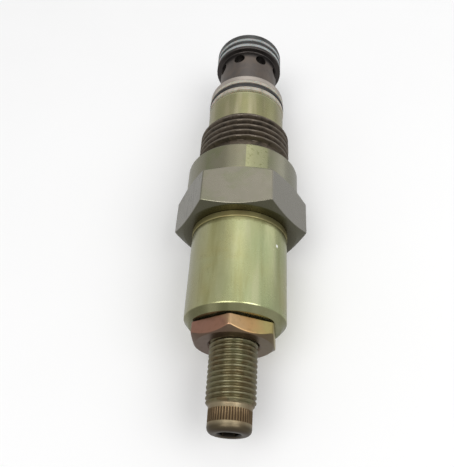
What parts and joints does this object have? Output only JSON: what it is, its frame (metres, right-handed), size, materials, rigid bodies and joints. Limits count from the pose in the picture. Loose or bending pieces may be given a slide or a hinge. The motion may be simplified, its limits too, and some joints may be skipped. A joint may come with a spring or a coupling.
{
  "type": "cartridge valve",
  "caption": "Screw-in hydraulic relief cartridge: hexagon body, threaded cavity mount, ported nose cage, spring housing and adjusting screw with lock nut.",
  "frame": {"origin": "on the valve's axis, at the middle of the mounting thread", "axes": "+Y along the axis towards the nose; +Z out of one hexagon flat"},
  "size_m": [0.037, 0.1258, 0.032],
  "materials": {
    "zinc_plate": "yellow-olive zinc plating, satin to glossy",
    "dark_steel": "dark heat-treated steel, satin",
    "bare_steel": "ground steel",
    "spring_steel": "oiled spring wire",
    "brass": "turned",
    "rubber_black": "oiled",
    "ptfe": "oiled white plastic, slightly grey",
    "dull_plate": "dull olive plating",
    "screw_plate": "dark olive plating, oily",
    "nut_plate": "rainbow yellow zinc plating"
  },
  "bodies": {
    "housing": {"hex_body": "zinc_plate", "nose_cage": "dark_steel", "nose_oring": "rubber_black", "nose_backup_front": "ptfe", "nose_backup_rear": "ptfe", "body_oring": "rubber_black", "body_backup_front": "ptfe", "body_backup_rear": "ptfe", "pilot_seat": "bare_steel", "pilot_seat_oring": "rubber_black", "main_spring": "spring_steel", "pilot_spring": "spring_steel", "spring_housing": "zinc_plate", "housing_washer": "dull_plate", "housing_oring": "rubber_black"},
    "main_piston": {"main_piston": "bare_steel", "orifice_plug": "brass"},
    "pilot_poppet": {"pilot_poppet": "bare_steel", "poppet_spring_guide": "bare_steel"},
    "spring_seat": {"spring_seat": "bare_steel", "seat_oring": "rubber_black", "seat_backup_ring": "ptfe"},
    "adjuster": {"adjusting_screw": "screw_plate", "adjuster_stop_ring": "spring_steel"},
    "nut_seal": {"nut_seal_ring": "rubber_black"},
    "lock_nut": {"jam_nut": "nut_plate"}
  },
  "joints": [
    {"name": "main_piston_slide", "type": "slide", "parent": "housing", "child": "main_piston", "axis": [0, -1, 0], "range_m": [0, 0.004], "stiffness_N_per_m": 2500, "springref_m": -0.004, "deforming": ["main_spring"]},
    {"name": "pilot_poppet_slide", "type": "slide", "parent": "housing", "child": "pilot_poppet", "axis": [0, -1, 0], "range_m": [0, 0.0008], "stiffness_N_per_m": 6000, "springref_m": -0.002, "deforming": ["pilot_spring"]},
    {"name": "spring_seat_slide", "type": "slide", "parent": "housing", "child": "spring_seat", "axis": [0, 1, 0], "range_m": [-0.00313, 0.005], "deforming": ["pilot_spring"]},
    {"name": "adjuster_turn", "type": "hinge", "parent": "spring_seat", "child": "adjuster", "pos_m": [0, -0.06915, 0], "axis": [0, 1, 0], "range_deg": [-900, 1440]},
    {"name": "nut_seal_slide", "type": "slide", "parent": "housing", "child": "nut_seal", "axis": [0, 1, 0], "range_m": [-0.0025, 0]},
    {"name": "lock_nut_turn", "type": "hinge", "parent": "nut_seal", "child": "lock_nut", "pos_m": [0, -0.05915, 0], "axis": [0, 1, 0], "range_deg": [-720, 0]}
  ],
  "couplings": [
    {"joint": "adjuster_turn", "follows": "spring_seat_slide", "rad_per_m": 5026.5},
    {"joint": "lock_nut_turn", "follows": "nut_seal_slide", "rad_per_m": 5026.5}
  ]
}
